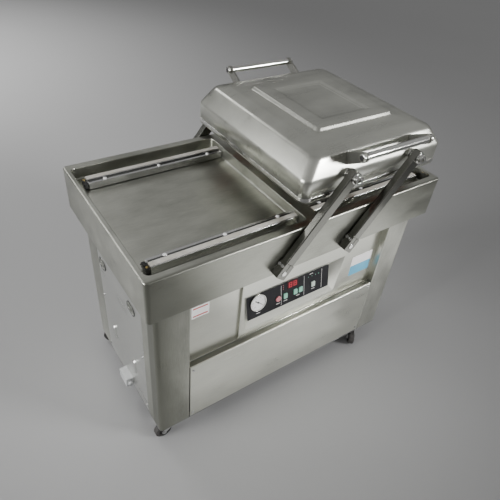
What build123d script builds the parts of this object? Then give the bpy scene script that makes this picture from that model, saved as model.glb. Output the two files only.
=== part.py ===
"""Double-chamber vacuum packing machine with a swing-over lid.

Millimetres.  +X runs along the machine, to the right of somebody standing at the
control panel, the front is -Y and +Z is up.  The origin is on the floor, under the
centre of the cabinet.  The lid is drawn lifted off the right-hand well, as its
balance springs leave it, and every joint is at zero there.
"""
from build123d import *
import os
from math import asin, cos, radians, sin, sqrt

os.makedirs("parts", exist_ok=True)

# ------------------------------------------------------------------ driving dimensions
machine_length = 990.0
machine_depth = 550.0
deck_height = 740.0

# deck: one pressed sheet with two wells and a deep skirt
deck_sheet = 2.0
skirt_height = 130.0
deck_corner = 12.0
rim_radius = 4.0
mouth_radius = 2.5
end_rim = 15.0
side_rim = 25.0
divider_width = 44.0
well_depth = 36.0
well_corner = 14.0
skirt_lip = 12.0

# cabinet
cabinet_length = 930.0
cabinet_depth = 486.0
cabinet_bottom = 72.0
sheet = 1.5
column_width = 100.0
column_return = 86.0
recess_depth = 25.0
ledge_height = 322.0
panel_fold = 13.0

# lid, measured from its own centre and its own lower edge
lid_half_x = 256.0
lid_half_y = 266.0
lid_sheet = 2.0
lid_sections = [                 # height, inset from the side in X, inset in Y
    (0.0, 0.0, 0.0),
    (62.0, 0.0, 0.0),
    (111.0, 36.0, 22.0),
    (122.0, 70.0, 55.0),
    (124.5, 115.0, 109.0),
]
platform_rise = 9.0
platform_slope = 6.0
tray_half_x = 90.0
tray_half_y = 111.0
tray_slope = 8.0
tray_sink = 4.0
lid_corner = 24.0
gasket_half_x = 243.5
gasket_half_y = 262.0
gasket_width = 8.0
gasket_drop = 5.5

# lid linkage: two equal swinging arms on each side of the machine
arm_spacing = 240.0
arm_reach = 305.0
shaft_height = 628.0
arm_width = 32.0
arm_thickness = 22.0
arm_tip = 17.0
clamp_width = 35.0
clamp_thickness = 24.0
clamp_below = 18.0
clamp_above = 28.0
lid_rest_x = 190.0
lid_closed_x = machine_length / 4
lid_closed_gap = 6.0
shaft_radius = 8.0
running_gap = 0.05
open_pivot_gap = 0.45

# handles
handle_length = 254.0
handle_radius = 10.0
handle_y = 307.0
handle_rise = 124.0
bracket_offset = 117.0
bracket_thickness = 5.0

# sealing bars
bar_length = 428.0
bar_centre_x = 238.5
bar_inner_y = 180.0
bar_outer_y = 216.0
bar_step_y = 196.0
rod_spacing = 300.0
rod_radius = 5.0

# control box: a raised frame with a dished opening, and the black panel on the tilted floor of the dish
box_left = -192.0
box_right = 212.0
box_proud = 8.0
box_top = 605.0
box_fold = 340.0
dish_top = 502.0
dish_bottom = 357.0
dish_top_xs = (-184.0, 204.0)
dish_bottom_xs = (-171.0, 186.0)
panel_tilt = 12.0
panel_y = -210.0
panel_z = 424.0
plate_left = -157.0
plate_right = 164.0
plate_height = 82.0
gauge_x = -117.5
gauge_v = 12.0
gauge_radius = 29.0
key_v = -8.0
board_depth = 17.0

# casters
caster_left_x = -410.0
caster_right_x = 376.0
caster_y = 211.0
wheel_radius = 27.0
wheel_width = 20.0
caster_trail = 34.0

# ------------------------------------------------------------------ derived positions
half_length = machine_length / 2
half_depth = machine_depth / 2
skirt_bottom = deck_height - skirt_height
well_floor = deck_height - well_depth
well_length = half_length - end_rim - divider_width / 2
well_width = machine_depth - 2 * side_rim
well_x = divider_width / 2 + well_length / 2
tray_bottom = well_floor - deck_sheet

cabinet_half_x = cabinet_length / 2
cabinet_half_y = cabinet_depth / 2
panel_base = cabinet_bottom + 2.0
frame_height = 25.0
frame_bottom = tray_bottom - frame_height
front_y = -cabinet_half_y
recess_y = front_y + recess_depth
recess_half = cabinet_half_x - column_width
panel_top = skirt_bottom - 4.0

arm_shift = lid_rest_x
arm_rise = sqrt(arm_reach**2 - arm_shift**2)
closed_rise = sqrt(arm_reach**2 - lid_closed_x**2)
lid_bottom = deck_height + lid_closed_gap + arm_rise - closed_rise
pivot_height = shaft_height + arm_rise
arm_lean = asin(arm_shift / arm_reach)
arm_inner_y = half_depth + 2.0
arm_outer_y = arm_inner_y + arm_thickness
clamp_outer_y = arm_inner_y + clamp_thickness
shaft_xs = {"left": -arm_spacing / 2, "right": arm_spacing / 2}
signs = (-1, 1)


# ------------------------------------------------------------------ deck
with BuildPart() as deck_table:
    with BuildSketch(Plane.XY.offset(skirt_bottom)):
        RectangleRounded(machine_length, machine_depth, deck_corner)
    extrude(amount=skirt_height)
    fillet(deck_table.faces().sort_by(Axis.Z)[-1].edges(), rim_radius)
    inner_size = (machine_length - 2 * deck_sheet, machine_depth - 2 * deck_sheet)
    with BuildSketch(Plane.XY.offset(skirt_bottom)):
        RectangleRounded(*inner_size, deck_corner - deck_sheet)
    extrude(amount=skirt_height - deck_sheet, mode=Mode.SUBTRACT)
    with BuildSketch(Plane.XY.offset(skirt_bottom)):
        RectangleRounded(*inner_size, deck_corner - deck_sheet)
        lip_length = inner_size[0] - 2 * skirt_lip
        lip_depth = inner_size[1] - 2 * skirt_lip
        RectangleRounded(lip_length, lip_depth, deck_corner, mode=Mode.SUBTRACT)
    extrude(amount=deck_sheet)
    with BuildSketch(Plane.XY.offset(tray_bottom)):
        with Locations((-well_x, 0), (well_x, 0)):
            tray_size = (well_length + 2 * deck_sheet, well_width + 2 * deck_sheet)
            RectangleRounded(*tray_size, well_corner + deck_sheet)
    extrude(amount=well_depth)
    with BuildSketch(Plane.XY.offset(well_floor)):
        with Locations((-well_x, 0), (well_x, 0)):
            RectangleRounded(well_length, well_width, well_corner)
    extrude(amount=well_depth, mode=Mode.SUBTRACT)
    floor_edges = deck_table.edges().filter_by_position(Axis.Z, well_floor, well_floor)
    fillet(floor_edges, 5.0)
    mouth_faces = deck_table.faces().filter_by_position(Axis.Z, deck_height, deck_height)
    mouth_edges = mouth_faces[0].inner_wires().edges()
    fillet(mouth_edges, mouth_radius)
    # holes for the lifting rods of the sealing bars, and for the suction ports
    with BuildSketch(Plane.XY.offset(tray_bottom)):
        for side in signs:
            for bank in signs:
                rod_y = bank * (bar_inner_y + bar_outer_y) / 2
                with Locations((side * bar_centre_x, rod_y)):
                    with GridLocations(rod_spacing, 1, 2, 1):
                        Circle(rod_radius + 0.5)
            with Locations((side * bar_centre_x, (bar_inner_y + bar_outer_y) / 2)):
                Circle(12.0)
    extrude(amount=deck_sheet, mode=Mode.SUBTRACT)
    # bearing holes for the two cross shafts, through both long skirts
    with BuildSketch(Plane.XZ.offset(-half_depth)):
        with Locations(*[(x, shaft_height) for x in shaft_xs.values()]):
            Circle(12.0)
    extrude(amount=machine_depth, mode=Mode.SUBTRACT)
deck_table.part.label = "deck_table"
export_step(deck_table.part, "parts/deck_table.step")


# ------------------------------------------------------------------ cabinet sheet metal
with BuildPart() as corner_columns:
    mid_x = cabinet_half_x - sheet / 2
    mid_y = cabinet_half_y - sheet / 2
    reveal_x = recess_half + sheet / 2
    for side in signs:
        for bank in signs:
            corners = [
                (side * reveal_x, bank * (cabinet_half_y - recess_depth - 4.0)),
                (side * reveal_x, bank * mid_y),
                (side * mid_x, bank * mid_y),
                (side * mid_x, bank * (cabinet_half_y - column_return)),
                (side * (mid_x - panel_fold), bank * (cabinet_half_y - column_return)),
            ]
            with BuildSketch(Plane.XY.offset(panel_base)):
                with BuildLine():
                    FilletPolyline(*corners, radius=[2.0, 11.25, 2.0])
                trace(line_width=sheet)
            extrude(amount=frame_bottom - panel_base)
corner_columns.part.label = "corner_columns"
export_step(corner_columns.part, "parts/corner_columns.step")


def side_sheet(side):
    """The folded outline of a side panel, standing between the two columns."""
    reach = cabinet_half_y - column_return - 1.5
    outer = side * (cabinet_half_x - sheet / 2)
    inner = side * (cabinet_half_x - sheet / 2 - panel_fold)
    with BuildSketch(Plane.XY.offset(panel_base)) as outline:
        with BuildLine():
            FilletPolyline(
                (inner, -reach),
                (outer, -reach),
                (outer, reach),
                (inner, reach),
                radius=2.0,
            )
        trace(line_width=sheet)
    return outline.sketch


pull_length = 44.0
pull_height = 30.0
pull_rim = 3.0
pull_depth = 14.0
pull_spots = [(-90.0, 482.0), (118.0, 482.0)]
louvre_spots = [(-72.0, 204.0), (84.0, 212.0)]

with BuildPart() as left_side_panel:
    add(side_sheet(-1))
    extrude(amount=frame_bottom - panel_base)
    outer_plane = Plane.YZ.offset(-cabinet_half_x)
    with BuildSketch(outer_plane):
        with Locations(*pull_spots):
            SlotOverall(pull_length + 2 * pull_rim, pull_height + 2 * pull_rim)
    extrude(amount=-1.2)
    with BuildSketch(outer_plane):
        with Locations(*pull_spots):
            SlotOverall(pull_length + 2.0, pull_height + 2.0)
    extrude(amount=pull_depth)
    with BuildSketch(outer_plane.offset(-1.2)):
        with Locations(*pull_spots):
            SlotOverall(pull_length, pull_height)
    extrude(amount=pull_depth, mode=Mode.SUBTRACT)
    with BuildSketch(outer_plane):
        with Locations(*louvre_spots):
            SlotOverall(62.0, 26.0, rotation=90)
    extrude(amount=-4.0, taper=35)
left_side_panel.part.label = "left_side_panel"
export_step(left_side_panel.part, "parts/left_side_panel.step")

vent_rows = 7
with BuildPart() as right_side_panel:
    add(side_sheet(1))
    extrude(amount=frame_bottom - panel_base)
    with BuildSketch(Plane.YZ.offset(cabinet_half_x)):
        with Locations((0, 330.0)):
            with GridLocations(130, 24, 2, vent_rows):
                SlotOverall(100.0, 7.0)
    extrude(amount=5.0, both=True, mode=Mode.SUBTRACT)
right_side_panel.part.label = "right_side_panel"
export_step(right_side_panel.part, "parts/right_side_panel.step")

with BuildPart() as front_recess_panel:
    with BuildSketch(Plane.XZ.offset(-recess_y)):
        with Locations((0, (ledge_height + panel_top) / 2)):
            Rectangle(2 * recess_half, panel_top - ledge_height)
        with Locations(((box_left + box_right) / 2, 431.0)):
            Rectangle(box_right - box_left - 12.0, 164.0, mode=Mode.SUBTRACT)
    extrude(amount=-sheet)
front_recess_panel.part.label = "front_recess_panel"
export_step(front_recess_panel.part, "parts/front_recess_panel.step")

door_gap = 2.0
with BuildPart() as front_lower_panel:
    front_mid = front_y + sheet / 2
    with BuildSketch(Plane.YZ.offset(door_gap - recess_half)):
        with BuildLine():
            FilletPolyline(
                (front_mid + panel_fold, panel_base + sheet / 2),
                (front_mid, panel_base + sheet / 2),
                (front_mid, ledge_height - sheet / 2),
                (recess_y + sheet, ledge_height - sheet / 2),
                radius=2.0,
            )
        trace(line_width=sheet)
    extrude(amount=2 * (recess_half - door_gap))
front_lower_panel.part.label = "front_lower_panel"
export_step(front_lower_panel.part, "parts/front_lower_panel.step")

louvre_length = 110.0
louvre_height = 12.0
louvre_depth = 6.0
with BuildPart() as rear_panel:
    with BuildSketch(Plane.XZ.offset(-cabinet_half_y)):
        with Locations((0, (panel_base + panel_top) / 2)):
            Rectangle(2 * recess_half - 2.0, panel_top - panel_base)
    extrude(amount=sheet)
    for column in (-160.0, 0.0, 160.0):
        for row in range(6):
            louvre_z = 180.0 + row * 26.0
            with BuildSketch(Plane.YZ.offset(column - louvre_length / 2)):
                with Locations((cabinet_half_y, louvre_z)):
                    Polygon(
                        (-sheet, 0),
                        (louvre_depth, 0),
                        (0, louvre_height),
                        (-sheet, louvre_height),
                        align=None,
                    )
            extrude(amount=louvre_length)
            with BuildSketch(Plane.YZ.offset(column - louvre_length / 2 + 2.0)):
                with Locations((cabinet_half_y, louvre_z)):
                    Polygon(
                        (-sheet - 1.0, -0.5),
                        (louvre_depth - 2.0, -0.5),
                        (-1.5, 8.0),
                        (-sheet - 1.0, 8.0),
                        align=None,
                    )
            extrude(amount=louvre_length - 4.0, mode=Mode.SUBTRACT)
rear_panel.part.label = "rear_panel"
export_step(rear_panel.part, "parts/rear_panel.step")

with BuildPart() as base_pan:
    with BuildSketch(Plane.XY.offset(cabinet_bottom)):
        RectangleRounded(cabinet_length, cabinet_depth, deck_corner)
    extrude(amount=panel_base - cabinet_bottom)
    for rib_x in (-250.0, 250.0):
        with BuildSketch(Plane.XY.offset(panel_base)):
            with Locations((rib_x, 0)):
                Rectangle(24.0, 400.0)
        extrude(amount=3.0)
base_pan.part.label = "base_pan"
export_step(base_pan.part, "parts/base_pan.step")

rail_wall = 3.0
rail_flange = 26.0
with BuildPart() as top_frame:
    half_x = cabinet_half_x - deck_corner
    half_y = cabinet_half_y - deck_corner
    for side in signs:
        for wall_half, reach, plane in (
            (cabinet_half_y, half_x, Plane.YZ.offset(-half_x)),
            (cabinet_half_x, half_y - rail_flange, Plane.XZ.offset(rail_flange - half_y)),
        ):
            with BuildSketch(plane):
                Polygon(
                    (side * wall_half, frame_bottom),
                    (side * wall_half, tray_bottom),
                    (side * (wall_half - rail_flange), tray_bottom),
                    (side * (wall_half - rail_flange), tray_bottom - rail_wall),
                    (side * (wall_half - rail_wall), tray_bottom - rail_wall),
                    (side * (wall_half - rail_wall), frame_bottom),
                    align=None,
                )
            extrude(amount=2 * reach)
top_frame.part.label = "top_frame"
export_step(top_frame.part, "parts/top_frame.step")


# ------------------------------------------------------------------ control box
tilt = radians(panel_tilt)
box_face = recess_y - box_proud
panel_plane = Plane(origin=(0, panel_y, panel_z), x_dir=(1, 0, 0), z_dir=(0, -cos(tilt), sin(tilt)))
plate_centre = (plate_left + plate_right) / 2
plate_length = plate_right - plate_left
faceplate_thickness = 1.0
key_clearance = 0.3
keys = {                       # centre x, width, height, round or square
    "stop_button": (-42.0, 19.0, 19.0, True),
    "start_button": (-14.0, 15.0, 19.0, False),
    "minus_button": (25.5, 15.0, 19.0, False),
    "plus_button": (46.5, 15.0, 19.0, False),
    "set_button": (98.0, 15.0, 19.0, False),
}


def key_outline(name, plane, grow):
    """The outline of one push button on a plane of the panel, larger all round by grow."""
    centre_x, width, height, is_round = keys[name]
    with BuildSketch(plane) as outline:
        with Locations((centre_x, key_v)):
            if is_round:
                Circle(width / 2 + grow)
            else:
                RectangleRounded(width + 2 * grow, height + 2 * grow, 2.5 + grow)
    return outline.sketch.faces()


def gauge_opening(plane):
    """The round hole that takes the body of the vacuum gauge."""
    with BuildSketch(plane) as opening:
        with Locations((gauge_x, gauge_v)):
            Circle(gauge_radius - 2.5)
    return opening.sketch.faces()


def dish(grow, depth):
    """The tapered dish between the front face and its tilted floor, larger all round by grow."""
    with BuildPart(mode=Mode.PRIVATE) as form:
        with BuildSketch(Plane.XZ.offset(-box_face)):
            Polygon(
                (dish_bottom_xs[0] - grow, dish_bottom - grow),
                (dish_bottom_xs[1] + grow, dish_bottom - grow),
                (dish_top_xs[1] + grow, dish_top + grow),
                (dish_top_xs[0] - grow, dish_top + grow),
                align=None,
            )
        with BuildSketch(panel_plane.offset(-depth)):
            with Locations((plate_centre, 0)):
                Rectangle(plate_length + 2 * grow + 2.0, plate_height + 2 * grow + 2.0)
        loft(ruled=True)
    return form.part


with BuildPart() as control_box:
    with BuildSketch(Plane.YZ.offset(box_left)):
        Polygon(
            (recess_y, box_top),
            (box_face, box_top),
            (box_face, box_fold),
            (recess_y, ledge_height + 0.4),
            align=None,
        )
    extrude(amount=box_right - box_left)
    with BuildSketch(Plane.YZ.offset(box_left + sheet)):
        Polygon(
            (recess_y + 1.0, box_top - sheet),
            (box_face + sheet, box_top - sheet),
            (box_face + sheet, box_fold + 0.4),
            (recess_y + 1.0, ledge_height + 1.6),
            align=None,
        )
    extrude(amount=box_right - box_left - 2 * sheet, mode=Mode.SUBTRACT)
    add(dish(sheet, faceplate_thickness + sheet))
    add(dish(0.0, faceplate_thickness), mode=Mode.SUBTRACT)
    extrude(gauge_opening(panel_plane), amount=-5.0, mode=Mode.SUBTRACT)
    for name in keys:
        extrude(key_outline(name, panel_plane, key_clearance), amount=-5.0, mode=Mode.SUBTRACT)
control_box.part.label = "control_box"
export_step(control_box.part, "parts/control_box.step")

with BuildPart() as control_faceplate:
    with BuildSketch(panel_plane.offset(-faceplate_thickness)):
        with Locations((plate_centre, 0)):
            RectangleRounded(plate_length, plate_height, 2.0)
    extrude(amount=faceplate_thickness)
    extrude(gauge_opening(panel_plane), amount=-2.0, mode=Mode.SUBTRACT)
    for name in keys:
        extrude(key_outline(name, panel_plane, key_clearance), amount=-2.0, mode=Mode.SUBTRACT)
control_faceplate.part.label = "control_faceplate"
export_step(control_faceplate.part, "parts/control_faceplate.step")

for name in keys:
    with BuildPart() as button:
        extrude(key_outline(name, panel_plane.offset(-10.0), 0.0), amount=13.0)
        fillet(button.edges().group_by(Axis.Y)[0], 1.0)
    button.part.label = name
    export_step(button.part, f"parts/{name}.step")

spindle_radius = 1.0
with BuildPart() as gauge_case:
    with BuildSketch(panel_plane):
        with Locations((gauge_x, gauge_v)):
            Circle(gauge_radius)
    extrude(amount=5.0)
    fillet(gauge_case.edges().filter_by(GeomType.CIRCLE).sort_by(Axis.Y)[0], 1.2)
    extrude(gauge_opening(panel_plane), amount=-38.0)
    with BuildSketch(panel_plane.offset(5.0)):
        with Locations((gauge_x, gauge_v)):
            Circle(gauge_radius - 3.0)
    extrude(amount=-4.0, mode=Mode.SUBTRACT)
    with BuildSketch(panel_plane.offset(2.0)):
        with Locations((gauge_x, gauge_v)):
            Circle(spindle_radius + running_gap)
    extrude(amount=-7.0, mode=Mode.SUBTRACT)
    with BuildSketch(panel_plane.offset(-38.0)):
        with Locations((gauge_x, gauge_v)):
            RegularPolygon(8.0, 6)
    extrude(amount=-14.0)
gauge_case.part.label = "gauge_case"
export_step(gauge_case.part, "parts/gauge_case.step")

with BuildPart() as gauge_needle:
    with BuildSketch(panel_plane.offset(2.4)):
        with Locations((gauge_x, gauge_v)):
            Circle(3.0)
    extrude(amount=1.4)
    with BuildSketch(panel_plane.offset(2.7)):
        with Locations(Location((gauge_x, gauge_v), -38)):
            Polygon((-13.0, -1.5), (20.0, -0.35), (20.0, 0.35), (-13.0, 1.5), align=None)
    extrude(amount=0.6)
    with BuildSketch(panel_plane.offset(2.4)):
        with Locations((gauge_x, gauge_v)):
            Circle(spindle_radius)
    extrude(amount=-6.0)
gauge_needle.part.label = "gauge_needle"
export_step(gauge_needle.part, "parts/gauge_needle.step")

board_centre = (40.0, 0.0)
with BuildPart() as circuit_board:
    with BuildSketch(panel_plane.offset(-board_depth)):
        with Locations(board_centre):
            RectangleRounded(230.0, 76.0, 3.0)
    extrude(amount=-1.6)
    with BuildSketch(panel_plane.offset(-board_depth)):
        with Locations(board_centre):
            with GridLocations(218.0, 64.0, 2, 2):
                Circle(3.0)
    extrude(amount=board_depth - faceplate_thickness - sheet)
    with BuildSketch(panel_plane.offset(-board_depth)):
        with Locations(*[(spec[0], key_v) for spec in keys.values()]):
            RectangleRounded(10.0, 10.0, 1.0)
    extrude(amount=5.3)
    for chip_x, chip_v, chip_w, chip_h, chip_t in (
        (-40.0, 18.0, 30.0, 16.0, 4.0),
        (30.0, 14.0, 24.0, 24.0, 3.0),
        (110.0, 8.0, 40.0, 22.0, 5.0),
    ):
        with BuildSketch(panel_plane.offset(-board_depth - 1.6)):
            with Locations((chip_x, chip_v)):
                Rectangle(chip_w, chip_h)
        extrude(amount=-chip_t)
circuit_board.part.label = "circuit_board"
export_step(circuit_board.part, "parts/circuit_board.step")


# ------------------------------------------------------------------ machinery in the cabinet
pump_x = 90.0
pump_half = 80.0
pump_axis = 190.0
motor_length = 230.0
with BuildPart() as vacuum_pump:
    with BuildSketch(Plane.XY.offset(panel_base)):
        with Locations((pump_x, 0)):
            with GridLocations(150.0, 130.0, 2, 2):
                Circle(14.0)
    extrude(amount=26.0)
    with BuildSketch(Plane.XY.offset(panel_base + 26.0)):
        with Locations((pump_x, 0)):
            RectangleRounded(2 * pump_half + 40.0, 2 * pump_half, 10.0)
    extrude(amount=150.0)
    fillet(vacuum_pump.faces().sort_by(Axis.Z)[-1].edges(), 8.0)
    with BuildSketch(Plane.YZ.offset(pump_x + 100.0)):
        with Locations((0, pump_axis)):
            Circle(55.0)
            with PolarLocations(46.0, 6):
                Circle(4.0, mode=Mode.SUBTRACT)
    extrude(amount=12.0)
    with BuildSketch(Plane.XY.offset(panel_base + 176.0)):
        with Locations((pump_x - 50.0, 40.0)):
            Circle(22.0)
    extrude(amount=24.0)
vacuum_pump.part.label = "vacuum_pump"
export_step(vacuum_pump.part, "parts/vacuum_pump.step")

motor_end = pump_x - pump_half - 20.0
with BuildPart() as pump_motor:
    with BuildSketch(Plane.YZ.offset(motor_end - motor_length)):
        with Locations((0, pump_axis)):
            Circle(62.0)
            with PolarLocations(64.0, 24):
                Rectangle(18.0, 2.4)
    extrude(amount=motor_length)
    with BuildSketch(Plane.YZ.offset(motor_end - motor_length)):
        with Locations((0, pump_axis)):
            Circle(72.0)
    extrude(amount=34.0)
    with BuildSketch(Plane.XY.offset(pump_axis)):
        with Locations((motor_end - motor_length / 2, 0)):
            Rectangle(70.0, 60.0)
    extrude(amount=95.0)
    with BuildSketch(Plane.XY.offset(panel_base)):
        with Locations((motor_end - motor_length / 2, 0)):
            Rectangle(120.0, 90.0)
    extrude(amount=pump_axis - panel_base)
pump_motor.part.label = "pump_motor"
export_step(pump_motor.part, "parts/pump_motor.step")

with BuildPart() as exhaust_filter:
    with BuildSketch(Plane.XY.offset(panel_base + 176.0)):
        with Locations((pump_x + 50.0, -30.0)):
            Circle(18.0)
    extrude(amount=20.0)
    with BuildSketch(Plane.XY.offset(panel_base + 196.0)):
        with Locations((pump_x + 50.0, -30.0)):
            Circle(40.0)
    extrude(amount=120.0)
    fillet(exhaust_filter.faces().sort_by(Axis.Z)[-1].edges(), 8.0)
exhaust_filter.part.label = "exhaust_filter"
export_step(exhaust_filter.part, "parts/exhaust_filter.step")

with BuildPart() as transformer:
    with BuildSketch(Plane.XY.offset(panel_base)):
        with Locations((330.0, 0)):
            Rectangle(90.0, 130.0)
    extrude(amount=4.0)
    with BuildSketch(Plane.XY.offset(panel_base + 4.0)):
        with Locations((330.0, 0)):
            Rectangle(50.0, 110.0)
    extrude(amount=100.0)
    with BuildSketch(Plane.XY.offset(panel_base + 24.0)):
        with Locations((330.0, 0)):
            RectangleRounded(86.0, 60.0, 12.0)
    extrude(amount=60.0)
transformer.part.label = "transformer"
export_step(transformer.part, "parts/transformer.step")

valve_y = 196.0
valve_z = 500.0
with BuildPart() as solenoid_valves:
    with BuildSketch(Plane.XZ.offset(-(cabinet_half_y - sheet))):
        with Locations((0, valve_z)):
            Rectangle(200.0, 90.0)
    extrude(amount=3.0)
    with BuildSketch(Plane.XZ.offset(3.0 + sheet - cabinet_half_y)):
        with Locations((0, valve_z)):
            Rectangle(160.0, 44.0)
    extrude(amount=60.0)
    with BuildSketch(Plane.XZ.offset(-(valve_y - 18.0))):
        with Locations((0, valve_z)):
            with GridLocations(52.0, 1, 3, 1):
                Circle(17.0)
    extrude(amount=46.0)
solenoid_valves.part.label = "solenoid_valves"
export_step(solenoid_valves.part, "parts/solenoid_valves.step")

hose_radius = 13.0
hose_bore = 9.0
port_y = (bar_inner_y + bar_outer_y) / 2
hose_runs = [
    [
        (side * 60.0, valve_y, valve_z + 22.0),
        (side * 60.0, valve_y, 586.0),
        (side * bar_centre_x, port_y, 586.0),
        (side * bar_centre_x, port_y, tray_bottom),
    ]
    for side in signs
]
hose_runs.append([
    (0.0, valve_y, valve_z - 22.0),
    (0.0, valve_y, 380.0),
    (pump_x - 50.0, 40.0, 380.0),
    (pump_x - 50.0, 40.0, panel_base + 200.0),
])
with BuildPart() as vacuum_hoses:
    for run in hose_runs:
        with BuildLine() as hose_path:
            FilletPolyline(*run, radius=30.0)
        for radius, mode in ((hose_radius, Mode.ADD), (hose_bore, Mode.SUBTRACT)):
            start = Plane(origin=run[0], z_dir=(0, 0, run[1][2] - run[0][2]))
            with BuildSketch(start):
                Circle(radius)
            sweep(path=hose_path.line, mode=mode)
    with BuildSketch(Plane.XY.offset(tray_bottom)):
        with Locations((-bar_centre_x, port_y), (bar_centre_x, port_y)):
            Circle(18.0)
            Circle(hose_bore, mode=Mode.SUBTRACT)
    extrude(amount=-4.0)
vacuum_hoses.part.label = "vacuum_hoses"
export_step(vacuum_hoses.part, "parts/vacuum_hoses.step")

with BuildPart() as power_inlet:
    with BuildSketch(Plane.YZ.offset(-cabinet_half_x)):
        with Locations((-13.5, 92.0)):
            RectangleRounded(57.0, 34.0, 3.0)
    extrude(amount=-24.0)
    fillet(power_inlet.faces().sort_by(Axis.X)[0].edges(), 2.5)
    with BuildSketch(Plane.XZ.offset(42.0)):
        with Locations((-cabinet_half_x - 12.0, 90.0)):
            Circle(7.5)
    extrude(amount=9.0)
power_inlet.part.label = "power_inlet"
export_step(power_inlet.part, "parts/power_inlet.step")


# ------------------------------------------------------------------ screws of the panels
head_radius = 4.5
head_height = 2.2
front_screws = [(side * (recess_half - 12.0), z) for side in signs for z in (92.0, 305.0)]
side_screw_y = cabinet_half_y - column_return - 12.0
side_screws = [(side * side_screw_y, z) for side in signs for z in (92.0, 330.0, 560.0)]
rear_screws = [(side * (recess_half - 12.0), z) for side in signs for z in (92.0, 340.0, 590.0)]


with BuildPart() as panel_screws:
    for plane, spots, outward in (
        (Plane.XZ.offset(cabinet_half_y), front_screws, 1),
        (Plane.YZ.offset(-cabinet_half_x), side_screws, -1),
        (Plane.YZ.offset(cabinet_half_x), side_screws, 1),
        (Plane.XZ.offset(-cabinet_half_y), rear_screws, -1),
    ):
        with BuildSketch(plane):
            with Locations(*spots):
                Circle(head_radius)
        extrude(amount=outward * head_height, taper=25)
panel_screws.part.label = "panel_screws"
export_step(panel_screws.part, "parts/panel_screws.step")


# ------------------------------------------------------------------ lifting and balance gear
with BuildPart() as lift_cylinders:
    cylinder_floor = 640.0
    for side in signs:
        for bank in signs:
            steps = (-rod_spacing / 2, rod_spacing / 2)
            centres = [(side * bar_centre_x + step, bank * port_y) for step in steps]
            with BuildSketch(Plane.XY.offset(cylinder_floor)):
                with Locations(*centres):
                    Circle(18.0)
            extrude(amount=tray_bottom - cylinder_floor)
            with BuildSketch(Plane.XY.offset(cylinder_floor + 4.0)):
                with Locations(*centres):
                    Circle(14.0)
            extrude(amount=46.0, mode=Mode.SUBTRACT)
            with BuildSketch(Plane.XY.offset(tray_bottom)):
                with Locations(*centres):
                    Circle(rod_radius + running_gap)
            extrude(amount=-20.0, mode=Mode.SUBTRACT)
lift_cylinders.part.label = "lift_cylinders"
export_step(lift_cylinders.part, "parts/lift_cylinders.step")

with BuildPart() as shaft_bearings:
    for shaft_x in shaft_xs.values():
        for bank in signs:
            for start, length, radius in (
                (half_depth, 1.6, 16.0), (half_depth - 14.0, 14.0, 12.0), (half_depth - 7.0, 5.0, 15.0),
            ):
                with BuildSketch(Plane.XZ.offset(-bank * start)):
                    with Locations((shaft_x, shaft_height)):
                        Circle(radius)
                extrude(amount=-bank * length)
    with BuildSketch(Plane.XZ.offset(-half_depth - 5.0)):
        with Locations(*[(x, shaft_height) for x in shaft_xs.values()]):
            Circle(shaft_radius + running_gap)
    extrude(amount=machine_depth + 10.0, mode=Mode.SUBTRACT)
shaft_bearings.part.label = "shaft_bearings"
export_step(shaft_bearings.part, "parts/shaft_bearings.step")

coil_radius = 16.0
wire_radius = 2.5
coil_length = 96.0
coil_pitch = 8.0
coil_inset = 40.0
with BuildPart() as balance_springs:
    for shaft_x in shaft_xs.values():
        for start_y in (coil_inset, -coil_inset - coil_length):
            coil = Helix(
                pitch=coil_pitch,
                height=coil_length,
                radius=coil_radius,
                center=(shaft_x, start_y, shaft_height),
                direction=(0, 1, 0),
                mode=Mode.PRIVATE,
            )
            with BuildSketch(Plane(origin=coil @ 0, z_dir=coil % 0)):
                Circle(wire_radius)
            sweep(path=coil, is_frenet=True)
            for foot in (coil @ 0, coil @ 1):
                with BuildSketch(Plane.XY.offset(foot.Z)):
                    with Locations((foot.X, foot.Y)):
                        Circle(wire_radius)
                extrude(amount=tray_bottom - foot.Z)
balance_springs.part.label = "balance_springs"
export_step(balance_springs.part, "parts/balance_springs.step")


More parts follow.
